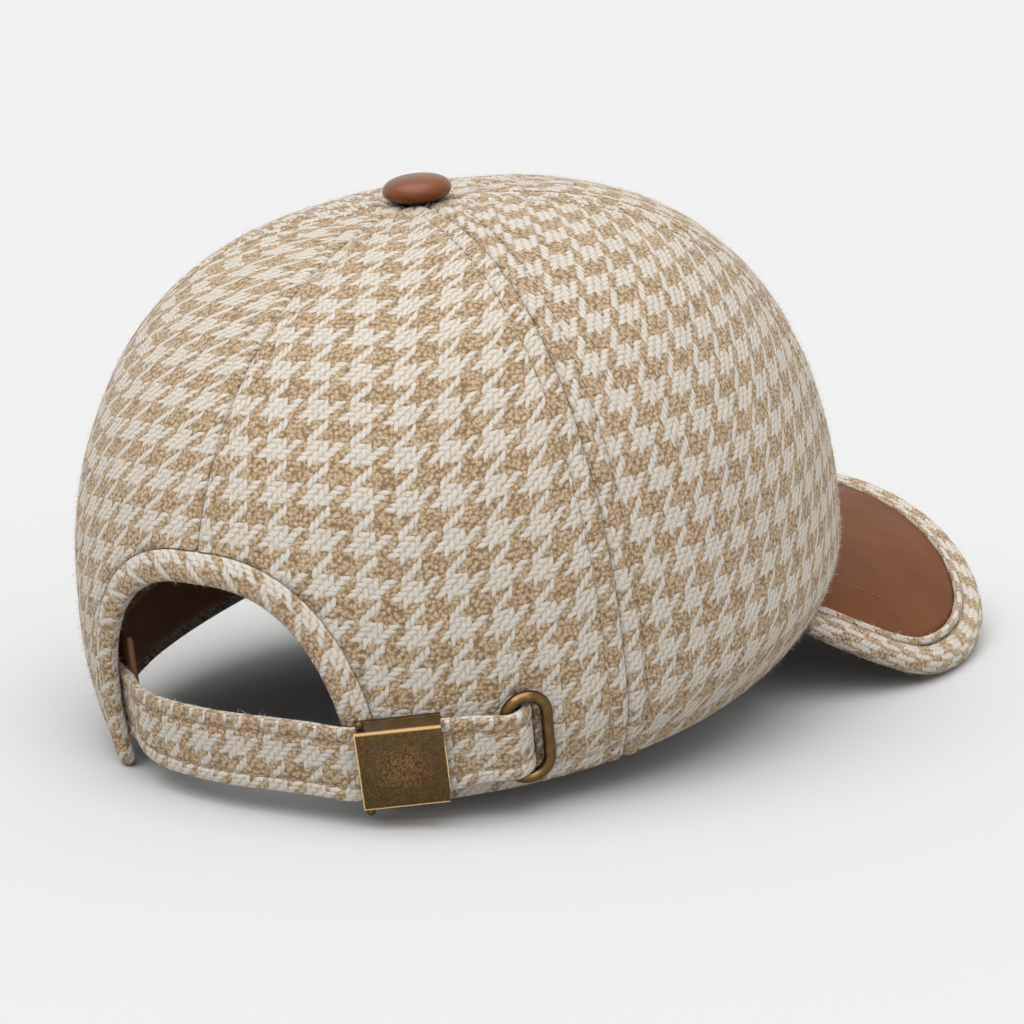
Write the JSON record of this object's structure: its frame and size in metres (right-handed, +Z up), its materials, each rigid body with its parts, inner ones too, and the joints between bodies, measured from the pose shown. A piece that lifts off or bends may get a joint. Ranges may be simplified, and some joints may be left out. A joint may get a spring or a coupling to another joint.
{
  "type": "houndstooth baseball cap",
  "caption": "Baseball cap of beige and cream houndstooth wool with a brown leather peak and button, a rear arch, and a strap with an antique brass clasp and ring.",
  "frame": {"origin": "centre of the bounding box's bottom face, on the surface the cap rests on", "axes": "+Z up as the cap rests by itself, -Y towards the peak, +Y towards the rear arch, +X towards the wearer's left"},
  "size_m": [0.189, 0.2962, 0.1364],
  "materials": {
    "wool": "beige and cream houndstooth twill",
    "lining": "dark brown lining cloth",
    "band_leather": "matt reddish-brown leather",
    "peak_leather": "fine-grained brown leather with a soft sheen",
    "button_leather": "glossy brown leather",
    "antique_brass": "dark antique brass with worn bright edges"
  },
  "bodies": {
    "cap": {"panel_front_left": "wool", "panel_front_right": "wool", "panel_side_left": "wool", "panel_side_right": "wool", "panel_back_left": "wool", "panel_back_right": "wool", "back_binding": "wool", "crown_lining": "lining", "sweatband": "band_leather", "peak_leather": "peak_leather", "peak_board": "wool", "peak_piping": "wool", "peak_binding": "wool", "button": "button_leather", "strap": "wool", "clasp_frame": "antique_brass", "clasp_pin": "antique_brass", "strap_ring": "antique_brass"},
    "clasp_lid": {"clasp_lid": "antique_brass"}
  },
  "joints": [
    {"name": "clasp_lid_hinge", "type": "hinge", "parent": "cap", "child": "clasp_lid", "pos_m": [-0.04031, 0.13999, 0.01428], "axis": [0.0238, -0.2333, -0.9721], "range_deg": [0, 90]}
  ]
}
